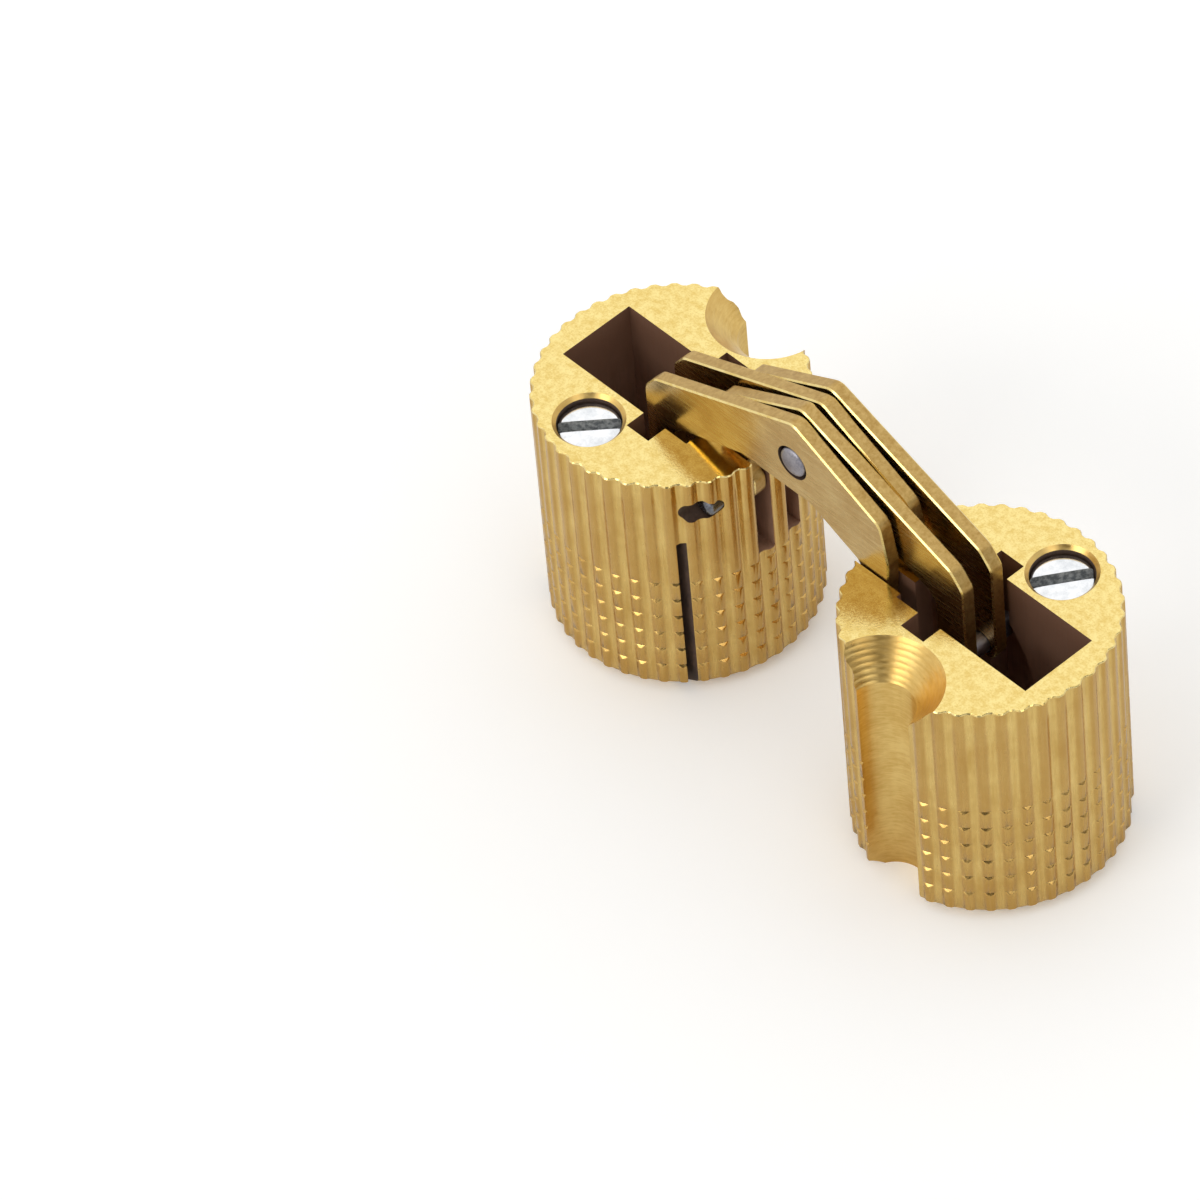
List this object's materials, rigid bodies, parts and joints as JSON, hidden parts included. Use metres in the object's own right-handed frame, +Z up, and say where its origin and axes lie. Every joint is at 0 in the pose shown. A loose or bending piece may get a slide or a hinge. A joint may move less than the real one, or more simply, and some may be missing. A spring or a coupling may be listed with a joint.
{
  "type": "concealed barrel hinge",
  "caption": "Concealed brass barrel hinge, opened flat: knurled barrels joined by elbow link plates that fold into their slotted cavities.",
  "frame": {"origin": "middle of the opened hinge on the plane of the barrels' bottom faces", "axes": "+X from the left barrel's axis to the right barrel's, +Z up along the barrels, +Y from the near side to the far side, along the pivot pins"},
  "size_m": [0.0358, 0.014, 0.0214],
  "materials": {
    "knurled_brass": "turned and knurled",
    "plate_brass": "stamped satin",
    "rivet_steel": "bright ground",
    "pin_steel": "dark drawn",
    "plated_screw": "bright plated"
  },
  "bodies": {
    "left_barrel": {"barrel_left": "knurled_brass", "pivot_pin_left": "pin_steel", "expansion_screw_left": "plated_screw"},
    "pivoting_links": {"link_plate_2": "plate_brass", "link_plate_4": "plate_brass", "guide_pin_right": "pin_steel", "centre_rivet": "rivet_steel"},
    "sliding_links": {"link_plate_1": "plate_brass", "link_plate_3": "plate_brass", "guide_pin_left": "pin_steel"},
    "right_barrel": {"barrel_right": "knurled_brass", "pivot_pin_right": "pin_steel", "expansion_screw_right": "plated_screw"}
  },
  "joints": [
    {"name": "left_pivot", "type": "hinge", "parent": "left_barrel", "child": "pivoting_links", "pos_m": [-0.00515, 0, 0.0129], "axis": [0, -1, 0], "range_deg": [0, 115.68]},
    {"name": "centre_rivet_turn", "type": "hinge", "parent": "pivoting_links", "child": "sliding_links", "pos_m": [0, 0, 0.01865], "axis": [0, 1, 0], "range_deg": [0, 51.35]},
    {"name": "right_pivot", "type": "hinge", "parent": "sliding_links", "child": "right_barrel", "pos_m": [0.00515, 0, 0.0129], "axis": [0, -1, 0], "range_deg": [0, 115.68]}
  ],
  "couplings": [
    {"joint": "centre_rivet_turn", "follows": "left_pivot", "ratio": 0.44394},
    {"joint": "right_pivot", "follows": "left_pivot", "ratio": 1}
  ]
}
